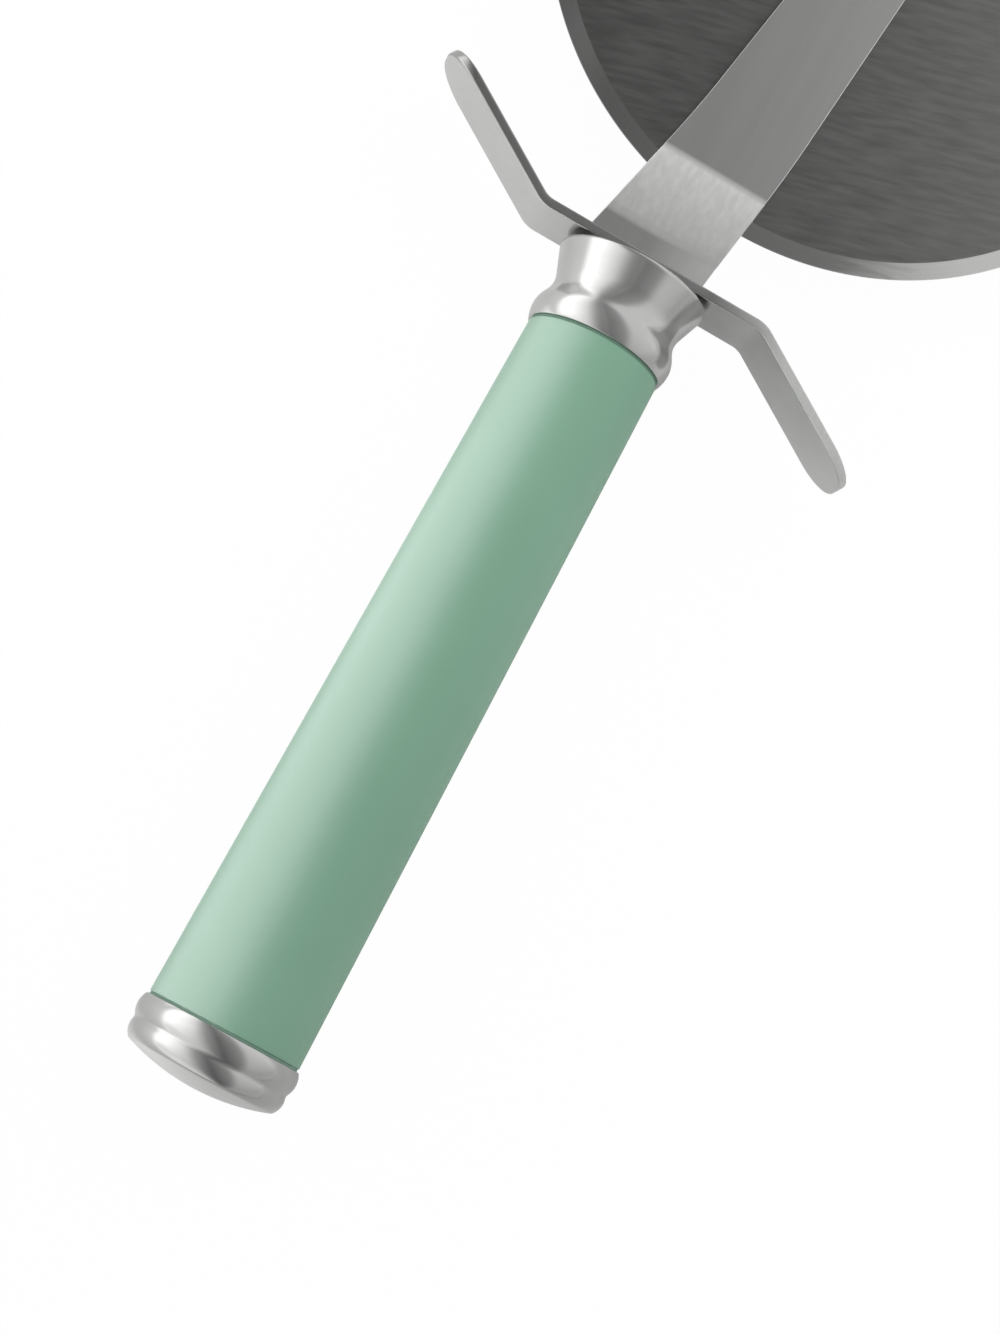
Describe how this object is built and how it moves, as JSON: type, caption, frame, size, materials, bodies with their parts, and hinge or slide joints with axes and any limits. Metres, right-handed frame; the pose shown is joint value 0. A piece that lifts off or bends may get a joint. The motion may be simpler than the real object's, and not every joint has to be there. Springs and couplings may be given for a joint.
{
  "type": "pizza wheel",
  "caption": "Hand pizza wheel: a round bevelled blade that turns on a cranked arm, with an S-bent finger guard and a tapered green grip between a polished ferrule and end cap.",
  "frame": {"origin": "middle of the grip, on the handle's axis", "axes": "+X along the handle towards the blade, +Z square to the blade on the arm's side, +Y to the thumb's side"},
  "size_m": [0.2393, 0.1, 0.0236],
  "materials": {
    "blade_steel": "brushed, ground bevel",
    "arm_steel": "brushed along its length",
    "guard_steel": "satin",
    "polished_steel": "polished",
    "fastener_steel": "plain",
    "grip_green": "satin moulded",
    "acetal": "moulded",
    "nylon": "moulded",
    "seal_rubber": "matt"
  },
  "bodies": {
    "handle": {"axle_rivet": "fastener_steel", "spacer_washer": "fastener_steel", "thrust_washer": "fastener_steel", "arm": "arm_steel", "finger_guard": "guard_steel", "ferrule": "polished_steel", "ferrule_insert": "nylon", "front_seal": "seal_rubber", "handle_grip": "grip_green", "handle_core": "nylon", "tie_rod": "fastener_steel", "tang_pins": "fastener_steel", "rear_seal": "seal_rubber", "rear_plug": "nylon", "rod_washer": "fastener_steel", "spring_washer": "fastener_steel", "rod_nut": "fastener_steel", "cap_ring": "fastener_steel", "end_cap": "polished_steel"},
    "wheel": {"blade": "blade_steel", "hub_bush": "acetal"}
  },
  "joints": [
    {"name": "blade_spin", "type": "hinge", "parent": "handle", "child": "wheel", "pos_m": [0.1284, -0.009, 0], "axis": [0, 0, 1], "continuous": true}
  ]
}
